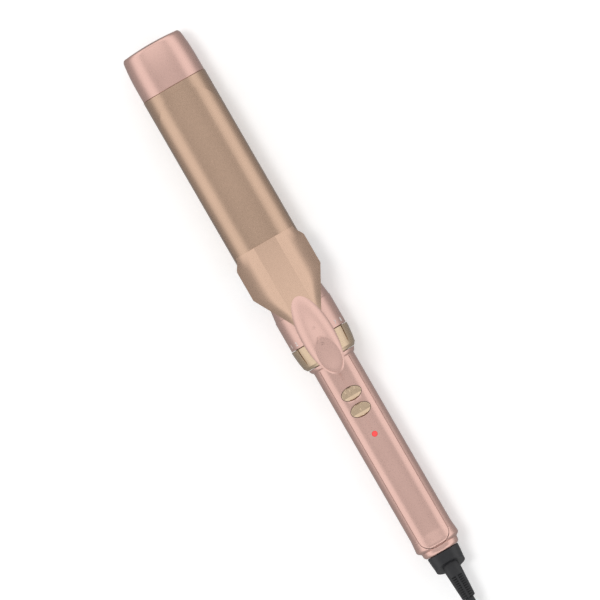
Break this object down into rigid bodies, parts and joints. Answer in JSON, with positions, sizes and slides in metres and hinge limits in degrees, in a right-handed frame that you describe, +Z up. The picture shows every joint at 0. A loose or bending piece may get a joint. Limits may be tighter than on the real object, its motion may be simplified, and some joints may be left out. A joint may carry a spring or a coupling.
{
  "type": "curling iron",
  "caption": "Large-barrel curling iron with a spring clamp and thumb lever, cool tip, dial ring, two push buttons, indicator light, folding stand and swivel cord.",
  "frame": {"origin": "centre of the footprint of the iron without its cord, on the surface it lies on", "axes": "+X along the barrel towards the tip, +Z up through the thumb lever, the buttons and the light, +Y to the left seen from the handle"},
  "size_m": [0.5251, 0.0596, 0.0561],
  "materials": {
    "rose_plastic": "satin rose gold lacquer",
    "champagne_metal": "fine speckled champagne coating",
    "champagne_clamp": "fine speckled champagne coating",
    "champagne_trim": "satin champagne",
    "aluminium": "extruded",
    "steel": "zinc plated",
    "heater_film": "amber film",
    "fuse_metal": "plain",
    "sensor_glass": "glass bead in sleeve",
    "lead_sleeve": "silicone sleeve",
    "mica": "matt",
    "dark_nylon": "glass-filled",
    "white_nylon": "plain",
    "board_green": "solder mask",
    "contact_brass": "plain",
    "red_lens": "clear red",
    "led_white": "plain",
    "black_part": "plain",
    "capacitor_yellow": "plain",
    "black_plastic": "satin",
    "black_rubber": "matt",
    "blade_nickel": "nickel plated"
  },
  "bodies": {
    "handle": {"cool_tip": "rose_plastic", "tip_bracket": "steel", "tip_screw": "steel", "barrel": "champagne_metal", "heater_block_upper": "aluminium", "heater_block_lower": "aluminium", "ptc_heater": "heater_film", "thermal_fuse": "fuse_metal", "thermistor": "sensor_glass", "heater_leads": "lead_sleeve", "heat_shield": "mica", "barrel_plug": "dark_nylon", "hinge_bracket": "steel", "hinge_rivets": "champagne_trim", "hinge_spacers": "white_nylon", "heel_collar": "rose_plastic", "heel_screws": "steel", "dial_contact_board": "board_green", "flange_ring": "rose_plastic", "handle_shell": "rose_plastic", "control_panel": "rose_plastic", "light_pipe": "red_lens", "indicator_led": "led_white", "circuit_board": "board_green", "tact_switches": "black_part", "film_capacitor": "capacitor_yellow", "triac": "black_part", "microcontroller": "black_part", "handle_screws": "steel", "end_collar": "rose_plastic", "contact_brushes": "contact_brass", "clamp_spring": "steel"},
    "dial": {"dial_ring": "champagne_trim", "dial_wiper": "contact_brass"},
    "heat_button": {"heat_button": "champagne_trim"},
    "power_button": {"power_button": "champagne_trim"},
    "clamp": {"clamp_spoon": "champagne_clamp", "clamp_shoulder": "champagne_clamp", "hinge_ears": "steel", "lever_arm": "steel", "thumb_lever": "rose_plastic", "lever_screws": "steel"},
    "stand": {"flip_stand": "steel"},
    "swivel": {"swivel_cap": "black_plastic", "swivel_hub": "dark_nylon", "slip_rings": "contact_brass", "strain_relief": "black_rubber", "cord_lead": "black_rubber", "cord_coil": "black_rubber", "cord_tail": "black_rubber", "cord_tie": "black_rubber", "plug_body": "black_plastic", "plug_blades": "blade_nickel"}
  },
  "joints": [
    {"name": "clamp_hinge", "type": "hinge", "parent": "handle", "child": "clamp", "pos_m": [0.03315, 0, 0.01905], "axis": [0, -1, 0], "range_deg": [0, 14], "stiffness_Nm_per_rad": 0.6, "springref_deg": -20.05, "deforming": ["clamp_spring"]},
    {"name": "stand_hinge", "type": "hinge", "parent": "handle", "child": "stand", "pos_m": [0.03315, 0, 0.01905], "axis": [0, -1, 0], "range_deg": [0, 80]},
    {"name": "dial_turn", "type": "hinge", "parent": "handle", "child": "dial", "pos_m": [-0.01665, 0, 0.01905], "axis": [1, 0, 0], "range_deg": [-15, 114]},
    {"name": "heat_button_press", "type": "slide", "parent": "handle", "child": "heat_button", "axis": [0, 0, -1], "range_m": [0, 0.0008], "stiffness_N_per_m": 400, "springref_m": -0.002},
    {"name": "power_button_press", "type": "slide", "parent": "handle", "child": "power_button", "axis": [0, 0, -1], "range_m": [0, 0.0008], "stiffness_N_per_m": 400, "springref_m": -0.002},
    {"name": "cord_swivel", "type": "hinge", "parent": "handle", "child": "swivel", "pos_m": [-0.14465, 0, 0.01905], "axis": [1, 0, 0], "continuous": true}
  ]
}
